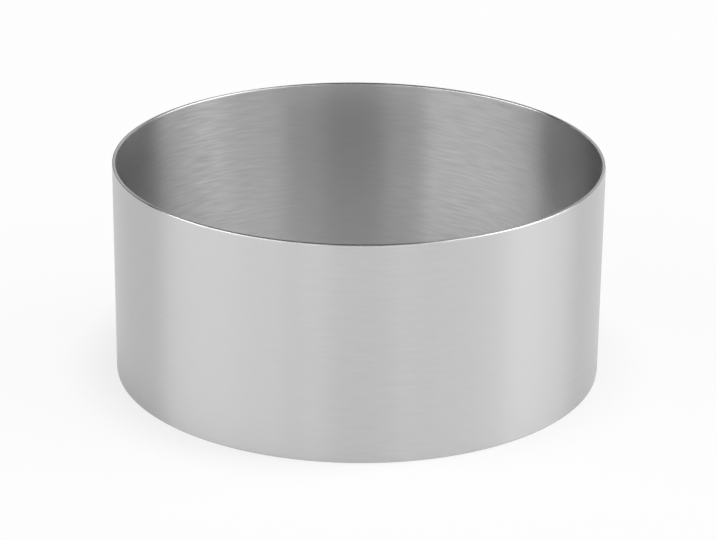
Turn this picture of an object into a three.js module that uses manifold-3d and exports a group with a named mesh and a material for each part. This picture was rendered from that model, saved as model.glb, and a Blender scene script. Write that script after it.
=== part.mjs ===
// Food ring: a strip of stainless steel rolled into a hoop, butt welded where its two ends meet, then
// ground and brushed. It stands on a plate or a tray and is open at both ends, so that food can be filled
// in from above and the ring lifted off. Either rim can be the lower one.
// Millimetres, +Z up. The origin is the centre of the circle on which the lower rim rests.
import * as THREE from "three";
import { mergeVertices } from "three/addons/utils/BufferGeometryUtils.js";
import Module from "manifold-3d";

// Driving dimensions
const OUTER_DIAMETER = 100;
const HEIGHT = 45;
const WALL = 0.8; // gauge of the strip
const RIM_ROUND = 0.35; // radius that deburring leaves on both edges of each rim
const WELD_FACE_WIDTH = 2.0; // on the outside, from which the weld was made
const WELD_ROOT_WIDTH = 1.4; // on the inside, where the weld came through
const WELD_CROWN = 0.06; // what grinding left standing on the face and the root of the weld

// Steps of the faceted curves
const RING_STEPS = 144;
const ROUND_STEPS = 4;
const CROWN_STEPS = 8;

// Sizes that follow from the driving dimensions
const OUTER_RADIUS = OUTER_DIAMETER / 2;
const INNER_RADIUS = OUTER_RADIUS - WALL;
const LARGEST_ROUND = 0.45 * WALL; // two rounds that met would leave the rim no flat to stand on
const RIM_RADIUS = Math.min(RIM_ROUND, LARGEST_ROUND);
const CUT_OVERSHOOT = WALL; // how far the cut for the weld runs past the wall and past both rims

// The weld lies on the +X side. Its corners lie on the round wall, so its edges are flush with the strip.
const WELD_FACE_HALF = WELD_FACE_WIDTH / 2;
const WELD_ROOT_HALF = WELD_ROOT_WIDTH / 2;
const WELD_FACE_X = Math.sqrt(OUTER_RADIUS ** 2 - WELD_FACE_HALF ** 2);
const WELD_ROOT_X = Math.sqrt(INNER_RADIUS ** 2 - WELD_ROOT_HALF ** 2);

const manifold = await Module();
manifold.setup();

// A three.js geometry as a solid that can be cut and joined.
function solidFrom(geometry) {
  const bare = geometry.clone();
  bare.deleteAttribute("normal");
  bare.deleteAttribute("uv");
  const merged = mergeVertices(bare);
  return new manifold.Manifold(
    new manifold.Mesh({
      numProp: 3,
      vertProperties: merged.attributes.position.array,
      triVerts: new Uint32Array(merged.index.array),
    }),
  );
}

// The faces of a solid as a three.js geometry.
function geometryFrom(solid) {
  const mesh = solid.getMesh();
  const geometry = new THREE.BufferGeometry();
  geometry.setAttribute("position", new THREE.BufferAttribute(mesh.vertProperties, 3));
  geometry.setIndex(new THREE.BufferAttribute(mesh.triVerts, 1));
  geometry.computeVertexNormals();
  return geometry;
}

// The quarter turn that rounds one edge of a rim, as the points of its arc.
function edgeRound(centreRadius, centreHeight, radius, startAngle) {
  const arc = new THREE.EllipseCurve(
    centreRadius,
    centreHeight,
    radius,
    radius,
    startAngle,
    startAngle + Math.PI / 2,
  );
  return arc.getPoints(ROUND_STEPS);
}

// A whole hoop of the ring's height, with rounded rims, turned about +Z.
function hoop(innerRadius, outerRadius, rimRadius) {
  const nearInside = innerRadius + rimRadius;
  const nearOutside = outerRadius - rimRadius;
  const nearTop = HEIGHT - rimRadius;
  const section = [
    ...edgeRound(nearOutside, rimRadius, rimRadius, -Math.PI / 2),
    ...edgeRound(nearOutside, nearTop, rimRadius, 0),
    ...edgeRound(nearInside, nearTop, rimRadius, Math.PI / 2),
    ...edgeRound(nearInside, rimRadius, rimRadius, Math.PI),
  ];
  section.push(section[0].clone());
  return new THREE.LatheGeometry(section, RING_STEPS).rotateX(Math.PI / 2);
}

// A plan outline made upright, from below the lower rim to above the upper one.
function upright(plan) {
  const depth = HEIGHT + 2 * CUT_OVERSHOOT;
  const geometry = new THREE.ExtrudeGeometry(plan, {
    depth,
    bevelEnabled: false,
    curveSegments: CROWN_STEPS,
  });
  return geometry.translate(0, 0, -CUT_OVERSHOOT);
}

// What the weld takes out of the hoop: its flanks flare from root to face, and run on straight past the wall.
function weldCut() {
  const inside = WELD_ROOT_X - CUT_OVERSHOOT;
  const outside = WELD_FACE_X + CUT_OVERSHOOT;
  const plan = new THREE.Shape();
  plan.moveTo(inside, -WELD_ROOT_HALF);
  plan.lineTo(WELD_ROOT_X, -WELD_ROOT_HALF);
  plan.lineTo(WELD_FACE_X, -WELD_FACE_HALF);
  plan.lineTo(outside, -WELD_FACE_HALF);
  plan.lineTo(outside, WELD_FACE_HALF);
  plan.lineTo(WELD_FACE_X, WELD_FACE_HALF);
  plan.lineTo(WELD_ROOT_X, WELD_ROOT_HALF);
  plan.lineTo(inside, WELD_ROOT_HALF);
  plan.closePath();
  return upright(plan);
}

// The weld itself in plan: the same flanks, with its face and its root each swelling to the crown.
// A quadratic curve rises half as far as its control point.
function weldBead() {
  const faceRise = OUTER_RADIUS + WELD_CROWN - WELD_FACE_X;
  const rootRise = WELD_ROOT_X - (INNER_RADIUS - WELD_CROWN);
  const plan = new THREE.Shape();
  plan.moveTo(WELD_ROOT_X, -WELD_ROOT_HALF);
  plan.lineTo(WELD_FACE_X, -WELD_FACE_HALF);
  plan.quadraticCurveTo(WELD_FACE_X + 2 * faceRise, 0, WELD_FACE_X, WELD_FACE_HALF);
  plan.lineTo(WELD_ROOT_X, WELD_ROOT_HALF);
  plan.quadraticCurveTo(WELD_ROOT_X - 2 * rootRise, 0, WELD_ROOT_X, -WELD_ROOT_HALF);
  return upright(plan);
}

// The rolled strip: the hoop without the metal that was melted into the weld.
function ringBand() {
  const strip = solidFrom(hoop(INNER_RADIUS, OUTER_RADIUS, RIM_RADIUS));
  const mesh = new THREE.Mesh(
    geometryFrom(strip.subtract(solidFrom(weldCut()))),
    new THREE.MeshStandardMaterial({ color: 0xc6c6c6, roughness: 0.36, metalness: 1 }),
  );
  mesh.name = "ring_band";
  return mesh;
}

// The weld metal that closes the hoop. It was ground with the strip, so its ends follow the rounded rims.
function weldSeam() {
  const ground = hoop(INNER_RADIUS - WELD_CROWN, OUTER_RADIUS + WELD_CROWN, RIM_RADIUS + WELD_CROWN);
  const mesh = new THREE.Mesh(
    geometryFrom(solidFrom(weldBead()).intersect(solidFrom(ground))),
    new THREE.MeshStandardMaterial({ color: 0xbcbcbc, roughness: 0.4, metalness: 1 }),
  );
  mesh.name = "weld_seam";
  return mesh;
}

const foodRing = new THREE.Group();
foodRing.add(ringBand(), weldSeam());

export default foodRing;
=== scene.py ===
# %% [markdown]
# # A brushed steel food ring
# A cook stands a food ring on a plate, fills it, presses the food down and lifts the ring off. The real one
# is a strip of stainless steel sheet, rolled into a hoop, welded where its ends meet and brushed all over.
# This lesson gives it a fine shape and a true finish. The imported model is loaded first, because every piece
# is made in metres in its frame, so that nothing has to be fitted afterwards.

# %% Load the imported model
import math
from typing import NamedTuple

import bmesh
import bpy
from mathutils import Matrix, Vector


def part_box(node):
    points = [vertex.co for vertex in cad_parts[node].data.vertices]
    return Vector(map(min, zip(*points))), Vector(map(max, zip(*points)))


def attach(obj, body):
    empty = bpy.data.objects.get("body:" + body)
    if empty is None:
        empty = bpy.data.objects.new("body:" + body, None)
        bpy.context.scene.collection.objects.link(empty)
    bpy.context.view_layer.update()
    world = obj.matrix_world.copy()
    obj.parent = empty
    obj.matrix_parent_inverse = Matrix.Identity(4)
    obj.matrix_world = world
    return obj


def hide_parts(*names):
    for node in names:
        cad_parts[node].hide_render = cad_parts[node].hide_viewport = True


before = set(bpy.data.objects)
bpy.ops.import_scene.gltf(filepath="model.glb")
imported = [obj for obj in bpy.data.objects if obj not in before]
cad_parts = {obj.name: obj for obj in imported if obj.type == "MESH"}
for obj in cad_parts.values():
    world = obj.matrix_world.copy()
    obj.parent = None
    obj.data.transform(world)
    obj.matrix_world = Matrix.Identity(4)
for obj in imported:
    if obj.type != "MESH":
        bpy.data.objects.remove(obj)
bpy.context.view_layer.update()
print("packed nodes:", ", ".join(sorted(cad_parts)))

# %% [markdown]
# ## Sizes
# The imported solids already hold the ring's real sizes, so most are measured instead of typed again. The
# band's box gives the diameter and the height. The weld stands a little proud of the wall on both sides, so
# its box gives the crown, and with the crown the thickness of the wall. No box shows the width of the
# weld's root or the rounding of the rims, so these two are typed.

# %% Measure the ring
MM_IN_A_METRE = 1000


def mm(length):
    return length / MM_IN_A_METRE


def in_mm(length):
    return round(length * MM_IN_A_METRE, 2)


band_low, band_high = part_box("ring_band")
weld_low, weld_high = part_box("weld_seam")
OUTER_RADIUS = -band_low.x
HEIGHT = band_high.z
WELD_CROWN = weld_high.x - OUTER_RADIUS
WALL = weld_high.x - weld_low.x - 2 * WELD_CROWN
INNER_RADIUS = OUTER_RADIUS - WALL
WELD_FACE_HALF = weld_high.y
WELD_ROOT_HALF = mm(0.7)
RIM_ROUND = mm(0.35)
print(f"diameter {in_mm(2 * OUTER_RADIUS)} mm, height {in_mm(HEIGHT)} mm, wall {in_mm(WALL)} mm")

# %% [markdown]
# ## Camera
# A product photographer stands well back with a long lens, so that the sides of the ring stay nearly
# upright. A camera could be aimed with a Track To constraint, but a rotation worked out once is plainer and
# also takes the small roll of a hand-held shot. The weld lies just out of sight at the right-hand edge.

# %% Place the camera
CAMERA_AZIMUTH = math.radians(5.5)
CAMERA_ELEVATION = math.radians(21.38)
CAMERA_DISTANCE = mm(558)
CAMERA_ROLL = math.radians(0.55)
LENS_MM = 136
AIM_POINT = Vector((mm(0.05), 0, mm(20.24)))


def direction(azimuth, elevation):
    """The way to something, as seen from the ring: azimuth 0 is -Y, and it grows towards +X."""
    level = math.cos(elevation)
    return Vector((math.sin(azimuth) * level, -math.cos(azimuth) * level, math.sin(elevation)))


camera_data = bpy.data.cameras.new("product_camera")
camera_data.lens = LENS_MM
camera = bpy.data.objects.new("product_camera", camera_data)
ring_middle = Vector((0, 0, HEIGHT / 2))
camera.location = ring_middle + CAMERA_DISTANCE * direction(CAMERA_AZIMUTH, CAMERA_ELEVATION)
aimed = (AIM_POINT - camera.location).to_track_quat("-Z", "Y").to_matrix()
camera.rotation_euler = (aimed @ Matrix.Rotation(CAMERA_ROLL, 3, "Z")).to_euler()
bpy.context.scene.collection.objects.link(camera)
bpy.context.scene.camera = camera
print("camera at", [in_mm(x) for x in camera.location], "mm")

# %% [markdown]
# ## The strip
# Sheet is slit to a strip and rolled, so the ring has one cross-section all the way round. A cylinder with
# a Solidify modifier would give the same hoop, but without the gap in which the weld sits. A spin is nearer
# to the real work: like a rolling mill, it carries one small face round an axis and leaves a solid behind.
# An extra pair of points near each rim keeps the shading of the wall straight up to the rounded edge.

# %% Draw the cross-section and roll it
HOLDING_STRIP = RIM_ROUND + mm(0.2)
BAND_STEPS = 360


def strip_section(bm, angle):
    levels = (0, HOLDING_STRIP, HEIGHT - HOLDING_STRIP, HEIGHT)
    inside = [bm.verts.new((INNER_RADIUS, 0, z)) for z in reversed(levels)]
    outside = [bm.verts.new((OUTER_RADIUS, 0, z)) for z in levels]
    face = bm.faces.new(inside + outside)
    bmesh.ops.rotate(bm, verts=face.verts, cent=(0, 0, 0), matrix=Matrix.Rotation(angle, 3, "Z"))
    return [face, *face.edges, *face.verts]


def roll(bm, start, end, steps):
    section = strip_section(bm, start)
    bmesh.ops.spin(bm, geom=section, axis=(0, 0, 1), angle=end - start, steps=steps, use_merge=False)


flank_angle = math.asin(WELD_FACE_HALF / OUTER_RADIUS)
band_mesh = bmesh.new()
roll(band_mesh, flank_angle, 2 * math.pi - flank_angle, BAND_STEPS)
print("rolled strip:", len(band_mesh.faces), "faces")

# %% [markdown]
# ## Deburred rims
# A sheared edge is sharp enough to cut, so both edges of each rim are rounded on a brush wheel. They are
# what draws the thin bright and dark lines along the rim. A bevel of the four long edges does the same as
# the wheel, and follows the wall all the way round.

# %% Round the rims
ROUND_STEPS = 6
TOUCH = mm(0.001)


def radius_of(vert):
    return math.hypot(vert.co.x, vert.co.y)


def is_rim_edge(edge):
    first, second = edge.verts
    runs_round = abs(radius_of(first) - radius_of(second)) < TOUCH
    return runs_round and all(min(v.co.z, HEIGHT - v.co.z) < TOUCH for v in edge.verts)


def round_rims(bm):
    rims = [edge for edge in bm.edges if is_rim_edge(edge)]
    bmesh.ops.bevel(
        bm,
        geom=rims,
        offset=RIM_ROUND,
        segments=ROUND_STEPS,
        profile=0.5,
        affect="EDGES",
        material=-1,
    )


round_rims(band_mesh)
print("with rounded rims:", len(band_mesh.faces), "faces")

# %% [markdown]
# ## Where the strip ends
# The two ends of the strip were melted into the weld, which is wider outside than inside. A boolean cut
# could slope them, but it would leave long thin triangles in the wall. The end points are slid round the
# hoop instead, each as far as the weld is wide at its depth.

# %% Slope the ends of the strip
ANGLE_TOUCH = 1e-5


def angle_of(vert):
    return math.atan2(vert.co.y, vert.co.x)


def weld_half_width(radius):
    depth_share = (radius - INNER_RADIUS) / WALL
    return WELD_ROOT_HALF + depth_share * (WELD_FACE_HALF - WELD_ROOT_HALF)


def slope_ends(bm):
    ends = [v for v in bm.verts if math.isclose(abs(angle_of(v)), flank_angle, abs_tol=ANGLE_TOUCH)]
    for vert in ends:
        radius = radius_of(vert)
        half = weld_half_width(radius)
        vert.co.y = math.copysign(half, vert.co.y)
        vert.co.x = math.sqrt(radius**2 - half**2)
    return ends


print("end points moved:", len(slope_ends(band_mesh)))

# %% [markdown]
# ## The weld
# The weld is a thin bead of metal between the two ends, ground until only a low crown is left. It could be
# a half-round curve laid on the wall, but then it would hide inside the strip. Rolling the same section
# through the gap gives it the height and the rims of the strip, and its points are then spread to the
# flanks and swollen to the crown.

# %% Make the weld
WELD_STEPS = 16


def swell_weld(bm):
    middle = (INNER_RADIUS + OUTER_RADIUS) / 2
    for vert in bm.verts:
        radius = radius_of(vert)
        side = angle_of(vert) / flank_angle
        thicker = 1 + 2 * WELD_CROWN * (1 - side**2) / WALL
        angle = side * math.asin(weld_half_width(radius) / radius)
        crowned = middle + (radius - middle) * thicker
        vert.co.x = crowned * math.cos(angle)
        vert.co.y = crowned * math.sin(angle)


weld_mesh = bmesh.new()
roll(weld_mesh, -flank_angle, flank_angle, WELD_STEPS)
round_rims(weld_mesh)
swell_weld(weld_mesh)
print("weld:", len(weld_mesh.faces), "faces")

# %% [markdown]
# ## A map of the unrolled strip
# Brushing runs along the strip, so the finish has to know which way that is. Object coordinates can't say,
# because the direction turns with the wall. The UV map lays the ring out as the flat strip that it was: U
# runs along it and V across it, both in metres, so a brush mark can be given in millimetres.

# %% Unroll both pieces
STRIP_MAP = "unrolled_strip"


def unroll(bm, cut_angle):
    uv = bm.loops.layers.uv.new(STRIP_MAP)
    for face in bm.faces:
        for loop in face.loops:
            along = (angle_of(loop.vert) - cut_angle) % (2 * math.pi) * OUTER_RADIUS
            across = loop.vert.co.z + radius_of(loop.vert) - OUTER_RADIUS
            loop[uv].uv = (along, across)


unroll(band_mesh, 0)
unroll(weld_mesh, math.pi)
STRIP_LENGTH = 2 * math.pi * OUTER_RADIUS
print(f"strip: {in_mm(STRIP_LENGTH)} mm long")

# %% [markdown]
# ## Colours and nodes
# Colours are written as the hex values that a paint program shows, and one function turns them into the
# linear values that Blender computes with. A second function adds one node with its settings and its
# links, so that each finish below reads as a list of what it is made of.

# %% Two helpers
def linear(hex_colour):
    """Linear red, green, blue and alpha, by the formula of the sRGB standard."""
    channels = [int(hex_colour[i : i + 2], 16) / 255 for i in (1, 3, 5)]
    return [c / 12.92 if c <= 0.04045 else ((c + 0.055) / 1.055) ** 2.4 for c in channels] + [1.0]


def add_node(tree, kind, settings=None, inputs=None):
    node = tree.nodes.new(kind)
    for name, value in (settings or {}).items():
        setattr(node, name, value)
    for name, value in (inputs or {}).items():
        if isinstance(value, bpy.types.NodeSocket):
            tree.links.new(value, node.inputs[name])
        else:
            node.inputs[name].default_value = value
    return node


STEEL = "#C6C6C6"
WELD_STEEL = "#BCBCBC"
print("steel in linear light:", [round(c, 3) for c in linear(STEEL)])

# %% [markdown]
# ## Brush marks
# A brushing wheel leaves thousands of grooves along the strip, about 0.05 mm apart, which is finer than a
# pixel of the picture. Only the coarser marks are seen one by one, so only these are drawn, as noise that is
# stretched along the strip and drawn coarser than real grooves, so that it shows. A picture of brushed steel
# would do it too, but it would repeat and would have a seam. The Mapping node in Texture mode divides by the
# size of a mark, so its scale is that size. A threshold keeps only the peaks of the noise, which leaves
# single scratches on smooth steel.

# %% One layer of marks
MARK_DETAIL = 1


class Marks(NamedTuple):
    """Depth, length and gap in millimetres, slant in degrees, and the noise value where a mark begins."""

    depth: float
    length: float
    gap: float
    slant: float = 0
    threshold: float = 0


def mark_pattern(tree, strip, seed, marks):
    placed = add_node(
        tree,
        "ShaderNodeMapping",
        {"vector_type": "TEXTURE"},
        {
            "Vector": strip,
            "Location": (0, 0, seed),
            "Rotation": (0, 0, math.radians(marks.slant)),
            "Scale": (mm(marks.length), mm(marks.gap), 1),
        },
    )
    noise = add_node(
        tree,
        "ShaderNodeTexNoise",
        inputs={"Vector": placed.outputs["Vector"], "Scale": 1, "Detail": MARK_DETAIL},
    )
    peaks = add_node(
        tree,
        "ShaderNodeMapRange",
        inputs={"Value": noise.outputs["Fac"], "From Min": marks.threshold, "From Max": 1},
    )
    return peaks.outputs["Result"]


print("a layer of marks has", ", ".join(Marks._fields))

# %% [markdown]
# ## Strokes of the wheel
# The wheel is pressed on and lifted off in strokes, so the marks are clear in the middle of a stroke and
# faint between two. A mask could be painted by hand, but a cosine along the strip has the same soft swell
# and closes at the weld, because a whole number of strokes goes round. The middles of the strokes lie where
# the inner wall shows bright bands of reflected light, so the clear marks there are partly painted glints,
# and the marks fade where the wall between them lies in shade. A mark is seen in two ways: it is a little
# lighter or darker than the steel around it, and it is a shallow groove. So the layers give a tone and a
# relief, both fading with the pressure.

# %% Marks as tone and relief
STROKES = 5
STROKE_LENGTH = STRIP_LENGTH / STROKES
# The hardest stroke lies where the inner wall shows a bright band of reflected light: painted glints.
FIRST_GLINT_STROKE = mm(57)  # from the weld to where the wheel presses hardest
LIGHT_PRESSURE = 0.25
MEAN_OF_NOISE = 0.5


# Painted glints: the strokes press hardest where the inner wall shows its bright bands of reflected light.
def pressure_and_glint_mask(tree, strip):
    along = add_node(tree, "ShaderNodeSeparateXYZ", inputs={"Vector": strip})
    radians_per_metre = 2 * math.pi / STROKE_LENGTH
    turn = add_node(
        tree,
        "ShaderNodeMath",
        {"operation": "MULTIPLY_ADD"},
        {0: along.outputs["X"], 1: radians_per_metre, 2: -FIRST_GLINT_STROKE * radians_per_metre},
    )
    wave = add_node(tree, "ShaderNodeMath", {"operation": "COSINE"}, {0: turn.outputs["Value"]})
    pressure_and_glints = add_node(
        tree,
        "ShaderNodeMapRange",
        inputs={"Value": wave.outputs["Value"], "From Min": -1, "To Min": LIGHT_PRESSURE},
    )
    return pressure_and_glints.outputs["Result"]


def tone_and_relief(tree, layers):
    """The first layer as a tone that swings round 0, partly painted glints, and all layers together as a
    bump.
    """
    strip = add_node(tree, "ShaderNodeUVMap", {"uv_map": STRIP_MAP}).outputs["UV"]
    pressure_and_glints = pressure_and_glint_mask(tree, strip)
    patterns = [mark_pattern(tree, strip, seed, marks) for seed, marks in enumerate(layers)]
    swing = add_node(tree, "ShaderNodeMath", {"operation": "SUBTRACT"}, {0: patterns[0], 1: MEAN_OF_NOISE})
    tone_and_glints = add_node(
        tree, "ShaderNodeMath", {"operation": "MULTIPLY"}, {0: swing.outputs["Value"], 1: pressure_and_glints}
    )
    height = 0
    for pattern, marks in zip(patterns, layers):
        height = add_node(
            tree,
            "ShaderNodeMath",
            {"operation": "MULTIPLY_ADD"},
            {0: pattern, 1: mm(marks.depth), 2: height},
        ).outputs["Value"]
    pressed = add_node(tree, "ShaderNodeMath", {"operation": "MULTIPLY"}, {0: height, 1: pressure_and_glints})
    relief = add_node(
        tree, "ShaderNodeBump", inputs={"Height": pressed.outputs["Value"], "Strength": 1, "Distance": 1}
    )
    return tone_and_glints.outputs["Value"], relief.outputs["Normal"]


print(f"{STROKES} strokes, each {in_mm(STROKE_LENGTH)} mm long")

# %% [markdown]
# ## Brushed stainless steel
# The grooves that are too fine to see still show: they stretch each reflection across themselves and leave
# it sharp along them. A rougher shader would blur it both ways, so the shader's anisotropy is used, with the
# strip's own map for its direction. The wall is brushed along the strip, so its reflections run up and down.
# The weld is ground along the seam, so there they run sideways. A mark scatters a little light of its own,
# so the marks also vary the colour and the roughness, and their lighter tone is partly painted glints.

# %% A recipe for brushed steel
ANISOTROPY = 1.0
ROUGHNESS_SWING = 0.06


def brushed_steel(name, colour, roughness, stretched, contrast, layers):
    material = bpy.data.materials.new(name)
    material.use_nodes = True
    tree = material.node_tree
    tree.nodes.clear()
    tone_and_glints, normal = tone_and_relief(tree, layers)
    # The marks' tone scales the colour; its lighter marks are partly painted glints.
    brightness = add_node(
        tree, "ShaderNodeMath", {"operation": "MULTIPLY_ADD"}, {0: tone_and_glints, 1: contrast, 2: 1}
    )
    shaded = add_node(
        tree,
        "ShaderNodeVectorMath",
        {"operation": "SCALE"},
        {0: linear(colour)[:3], "Scale": brightness.outputs["Value"]},
    )
    roughened = add_node(
        tree, "ShaderNodeMath", {"operation": "MULTIPLY_ADD"}, {0: tone_and_glints, 1: ROUGHNESS_SWING, 2: roughness}
    )
    along = add_node(tree, "ShaderNodeTangent", {"direction_type": "UV_MAP", "uv_map": STRIP_MAP})
    steel = add_node(
        tree,
        "ShaderNodeBsdfPrincipled",
        inputs={
            "Base Color": shaded.outputs["Vector"],
            "Metallic": 1,
            "Roughness": roughened.outputs["Value"],
            "Anisotropic": ANISOTROPY,
            "Anisotropic Rotation": stretched,
            "Tangent": along.outputs["Tangent"],
            "Normal": normal,
        },
    )
    add_node(tree, "ShaderNodeOutputMaterial", inputs={"Surface": steel.outputs["BSDF"]})
    return material


print("anisotropy:", ANISOTROPY, "and roughness swing:", ROUGHNESS_SWING)

# %% [markdown]
# ## Four finishes of one steel
# The ring is brushed evenly outside and with a small wheel inside, deburred along its rims and ground along
# its weld. One material with a mask for each place could hold all four, but four short recipes are easier to
# read and to change. Only a real difference is written down: how rough the steel is, which way it was
# brushed, how clear its marks are and how long they are.

# %% Make the finishes
ACROSS_THE_STRIP = 0.25  # of a full turn, from along the strip
ALONG_THE_STRIP = 0.0
WALL_ROUGHNESS = 0.31
RIM_ROUGHNESS = 0.25
WELD_ROUGHNESS = 0.36

# An even grey sheen, brushed so finely that hardly a mark is seen
satin_finish = brushed_steel(
    "satin_brushed_steel",
    STEEL,
    WALL_ROUGHNESS,
    ACROSS_THE_STRIP,
    contrast=0.11,
    layers=[Marks(depth=0.02, length=6, gap=0.8)],
)
# The same sheen broken by streaks, because a wheel that fits inside the hoop is small and leaves its path.
# Its lighter streaks are partly painted glints, clearest where the strokes press hardest.
streaked_finish = brushed_steel(
    "streaked_brushed_steel",
    STEEL,
    WALL_ROUGHNESS,
    ACROSS_THE_STRIP,
    contrast=0.4,
    layers=[
        Marks(depth=0.008, length=6, gap=0.5, slant=3),
        Marks(depth=0.016, length=30, gap=1.2),
        Marks(depth=0.016, length=4, gap=0.5, slant=7, threshold=0.55),
        Marks(depth=0.016, length=6, gap=0.5, slant=-3, threshold=0.58),
    ],
)
# A narrow bright line with short nicks, left by the deburring wheel
rim_finish = brushed_steel(
    "deburred_steel",
    STEEL,
    RIM_ROUGHNESS,
    ACROSS_THE_STRIP,
    contrast=0.1,
    layers=[Marks(depth=0.003, length=3, gap=0.1)],
)
# A slightly duller stripe whose lines run up and down
weld_finish = brushed_steel(
    "ground_weld_steel",
    WELD_STEEL,
    WELD_ROUGHNESS,
    ALONG_THE_STRIP,
    contrast=0.8,
    layers=[Marks(depth=0.006, length=0.4, gap=6)],
)
all_finishes = (satin_finish, streaked_finish, rim_finish, weld_finish)
print("finishes:", ", ".join(finish.name for finish in all_finishes))

# %% [markdown]
# ## The two pieces
# One mesh can carry several finishes, one for each face, so the strip stays a single piece like the real
# one. The finish follows from where a face lies: on a rim, outside or inside. Edges that turn more sharply
# than a rounded rim does are kept sharp, and all else is shaded smooth.

# %% Make the pieces
SHARP_ANGLE = math.radians(40)


def face_side(face):
    middle = face.calc_center_median()
    if not RIM_ROUND < middle.z < HEIGHT - RIM_ROUND:
        return "rim"
    return "outside" if middle.xy.length > (INNER_RADIUS + OUTER_RADIUS) / 2 else "inside"


def piece_from(bm, name, finishes):
    bmesh.ops.recalc_face_normals(bm, faces=bm.faces)
    order = list(finishes)
    for edge in bm.edges:
        edge.smooth = edge.calc_face_angle() < SHARP_ANGLE
    for face in bm.faces:
        face.smooth = True
        face.material_index = order.index(face_side(face))
    mesh = bpy.data.meshes.new(name)
    bm.to_mesh(mesh)
    bm.free()
    for material in finishes.values():
        mesh.materials.append(material)
    piece = bpy.data.objects.new(name, mesh)
    bpy.context.scene.collection.objects.link(piece)
    return piece


band = piece_from(
    band_mesh, "brushed_band", {"outside": satin_finish, "inside": streaked_finish, "rim": rim_finish}
)
weld = piece_from(
    weld_mesh, "ground_weld", {"outside": weld_finish, "inside": weld_finish, "rim": rim_finish}
)
for piece, node, slot in (
    (band, "ring_band", "brushed_steel_strip"),
    (weld, "weld_seam", "ground_weld_metal"),
):
    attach(piece, "root")
    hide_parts(node)
    print(piece.name, "has", len(piece.data.polygons), "faces")

# %% [markdown]
# ## Floor
# A product photographer stands the ring on a wide sheet of paper. The sheet could be bent up behind the ring
# to hide the horizon, but this camera looks down far enough to see nothing else, so a large plane does. It
# belongs to the stage and not to the ring.

# %% Lay the floor
FLOOR_SIDE = 4.0  # metres

floor_bm = bmesh.new()
bmesh.ops.create_grid(floor_bm, x_segments=1, y_segments=1, size=FLOOR_SIDE / 2)
floor_mesh = bpy.data.meshes.new("floor")
floor_bm.to_mesh(floor_mesh)
floor_bm.free()
floor = bpy.data.objects.new("floor", floor_mesh)
bpy.context.scene.collection.objects.link(floor)
print(f"floor: {FLOOR_SIDE:.0f} m square")

# %% [markdown]
# ## White paper
# Such paper is lit until it shows as pure white. More light would do that here too, but it would also wash
# out the steel. Instead the paper mixes its own white with a glow of strength 1, and Light Path shows that
# glow only to the camera and to reflections, so it adds no light to the ring. The glow is strong on the open
# paper. It is weaker inside the ring and at its foot, where the paper keeps the ring's shadow, and weakest
# there for reflections, which would otherwise lift the shade on the steel inside. It isn't a lamp, so it is
# left out of the sampling of lights.

# %% Make the paper
PAPER_WHITE = "#F7F7F7"
SHADE_GLOW_SEEN = 0.6
SHADE_GLOW_REFLECTED = 0.25
OPEN_GLOW = 0.9
GLOW_GROWS_FROM = OUTER_RADIUS - mm(6)
GLOW_GROWS_TO = OUTER_RADIUS + mm(14)

paper = bpy.data.materials.new("white_paper")
paper.use_nodes = True
paper.cycles.emission_sampling = "NONE"
paper_tree = paper.node_tree
paper_tree.nodes.clear()
white = add_node(paper_tree, "ShaderNodeBsdfDiffuse", inputs={"Color": linear(PAPER_WHITE)})
bright = add_node(paper_tree, "ShaderNodeEmission", inputs={"Strength": 1})
ray = add_node(paper_tree, "ShaderNodeLightPath")
seen = ray.outputs["Is Camera Ray"]
for kind in ("Is Glossy Ray", "Is Transmission Ray"):
    either = add_node(
        paper_tree, "ShaderNodeMath", {"operation": "MAXIMUM"}, {0: seen, 1: ray.outputs[kind]}
    )
    seen = either.outputs["Value"]
place = add_node(paper_tree, "ShaderNodeTexCoord").outputs["Object"]
from_axis = add_node(paper_tree, "ShaderNodeVectorMath", {"operation": "LENGTH"}, {0: place})
shade_glow = add_node(
    paper_tree,
    "ShaderNodeMapRange",
    inputs={
        "Value": ray.outputs["Is Camera Ray"],
        "To Min": SHADE_GLOW_REFLECTED,
        "To Max": SHADE_GLOW_SEEN,
    },
)
glow_share = add_node(
    paper_tree,
    "ShaderNodeMapRange",
    {"interpolation_type": "SMOOTHSTEP"},
    {
        "Value": from_axis.outputs["Value"],
        "From Min": GLOW_GROWS_FROM,
        "From Max": GLOW_GROWS_TO,
        "To Min": shade_glow.outputs["Result"],
        "To Max": OPEN_GLOW,
    },
)
share = add_node(
    paper_tree, "ShaderNodeMath", {"operation": "MULTIPLY"}, {0: seen, 1: glow_share.outputs["Result"]}
)
mixed = add_node(
    paper_tree,
    "ShaderNodeMixShader",
    inputs={0: share.outputs["Value"], 1: white.outputs["BSDF"], 2: bright.outputs["Emission"]},
)
add_node(paper_tree, "ShaderNodeOutputMaterial", inputs={"Surface": mixed.outputs["Shader"]})
floor_mesh.materials.append(paper)
print(f"the glow grows from {in_mm(GLOW_GROWS_FROM)} to {in_mm(GLOW_GROWS_TO)} mm from the axis")

# %% [markdown]
# ## Studio light
# Brushed steel shows the room around it, so the light is chosen for what the wall reflects. A large soft
# box stands on each side, weaker ones flank the camera and leave a dark gap behind it, a card brightens the
# front, and a white sweep runs round the horizon. Overhead it is nearly dark, which draws the thin dark line
# along the rim. Lamps could do this, but they light the paper unevenly. Drawn on the world, each light is a
# window in the sky.

# %% List the lights
class SoftBox(NamedTuple):
    """A window in the sky. All but its strength is in degrees, and an azimuth above 0 is to the right."""

    strength: float
    azimuth: float
    elevation: float
    width: float
    height: float
    side_edge: float = 11
    top_edge: float = 20


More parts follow.
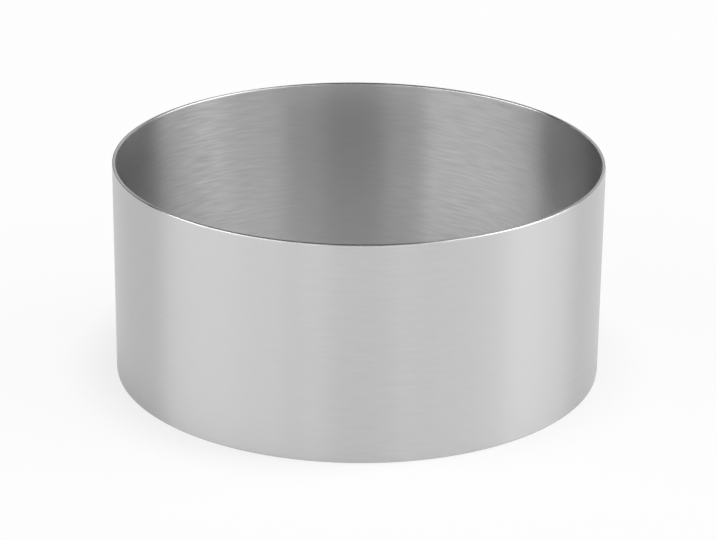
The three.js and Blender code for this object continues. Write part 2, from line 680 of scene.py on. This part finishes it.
ALL_ROUND = 380  # wider than a full turn, so that no side edge shows
SOFT_BOXES = {
    # strength, azimuth, elevation, width, height
    "left_front": SoftBox(2.4, -25, 26, 23, 16),
    "right_front": SoftBox(2.1, 27, 28, 19, 16),
    "left_fill": SoftBox(5.8, -46, 26, 20, 16),
    "right_fill": SoftBox(4.2, 54, 28, 35, 16),
    "left_box": SoftBox(8.0, -80, 28, 47, 16),
    "right_box": SoftBox(4.2, 94, 42, 44, 60),
    "right_wing": SoftBox(0.5, 105, 15, 50, 20, side_edge=40),
    "canopy": SoftBox(1.4, 0, 35, 90, 14, side_edge=30, top_edge=12),
    "backdrop": SoftBox(0.9, 180, 24, 90, 24, side_edge=40, top_edge=10),
    "front_card": SoftBox(4.6, 0, -1, 60, 8, side_edge=30, top_edge=6),
    "overhead": SoftBox(0.15, 0, 90, ALL_ROUND, 80, top_edge=30),
    "sweep": SoftBox(1.0, 22, 0, 285, 18, side_edge=30, top_edge=6),
}
print("lights:", ", ".join(SOFT_BOXES))

# %% [markdown]
# ## The sky in two angles
# A photographer places a light by how far it stands to the side of the camera and how high it is. A picture
# of a studio could be wrapped round the sky instead, but then no light could be moved by changing a number.
# The world only knows the way that a ray goes, so a few nodes turn that into the two angles.

# %% Measure the sky from the camera
world = bpy.data.worlds.new("studio")
bpy.context.scene.world = world
world.use_nodes = True
studio = world.node_tree
studio.nodes.clear()
sky = add_node(studio, "ShaderNodeTexCoord").outputs["Generated"]
from_camera = add_node(
    studio, "ShaderNodeVectorRotate", {"rotation_type": "Z_AXIS"}, {"Vector": sky, "Angle": -CAMERA_AZIMUTH}
)
way = add_node(studio, "ShaderNodeSeparateXYZ", inputs={"Vector": from_camera.outputs["Vector"]}).outputs
towards_camera = add_node(studio, "ShaderNodeMath", {"operation": "MULTIPLY"}, {0: way["Y"], 1: -1})
azimuth = add_node(
    studio, "ShaderNodeMath", {"operation": "ARCTAN2"}, {0: way["X"], 1: towards_camera.outputs["Value"]}
)
elevation = add_node(studio, "ShaderNodeMath", {"operation": "ARCSINE"}, {0: way["Z"]})
print("the sky is measured with", len(studio.nodes), "nodes")

# %% [markdown]
# ## Windows in the sky
# A window lets through a range of both angles, and all windows together are the light of the studio. A soft
# box fades towards its sides, so each edge is a smooth step. A sharp edge would be simpler, but it would
# show as a hard line in the smooth rims. The grooves in the walls draw the soft edges out to the upright
# bands of light and shade. The Standard view shows colours as they are written.

# %% Light the studio
def soft_window(angle, middle, width, edge):
    """1 where an angle lies in the window, 0 outside it, and a smooth step across each edge."""
    away = add_node(
        studio,
        "ShaderNodeMath",
        {"operation": "SUBTRACT"},
        {0: angle.outputs["Value"], 1: math.radians(middle)},
    )
    within_a_turn = add_node(
        studio, "ShaderNodeMath", {"operation": "WRAP"}, {0: away.outputs["Value"], 1: math.pi, 2: -math.pi}
    )
    either_side = add_node(
        studio, "ShaderNodeMath", {"operation": "ABSOLUTE"}, {0: within_a_turn.outputs["Value"]}
    )
    return add_node(
        studio,
        "ShaderNodeMapRange",
        {"interpolation_type": "SMOOTHSTEP"},
        {
            "Value": either_side.outputs["Value"],
            "From Min": math.radians((width + edge) / 2),
            "From Max": math.radians((width - edge) / 2),
        },
    )


light = 0
for name, box in SOFT_BOXES.items():
    across = soft_window(azimuth, box.azimuth, box.width, box.side_edge)
    upright = soft_window(elevation, box.elevation, box.height, box.top_edge)
    shape = add_node(
        studio,
        "ShaderNodeMath",
        {"operation": "MULTIPLY"},
        {0: across.outputs["Result"], 1: upright.outputs["Result"]},
    )
    light = add_node(
        studio,
        "ShaderNodeMath",
        {"operation": "MULTIPLY_ADD", "label": name},
        {0: shape.outputs["Value"], 1: box.strength, 2: light},
    ).outputs["Value"]
glowing = add_node(studio, "ShaderNodeBackground", inputs={"Strength": light})
add_node(studio, "ShaderNodeOutputWorld", inputs={"Surface": glowing.outputs["Background"]})
bpy.context.scene.view_settings.view_transform = "Standard"
print("the studio is drawn with", len(studio.nodes), "nodes")
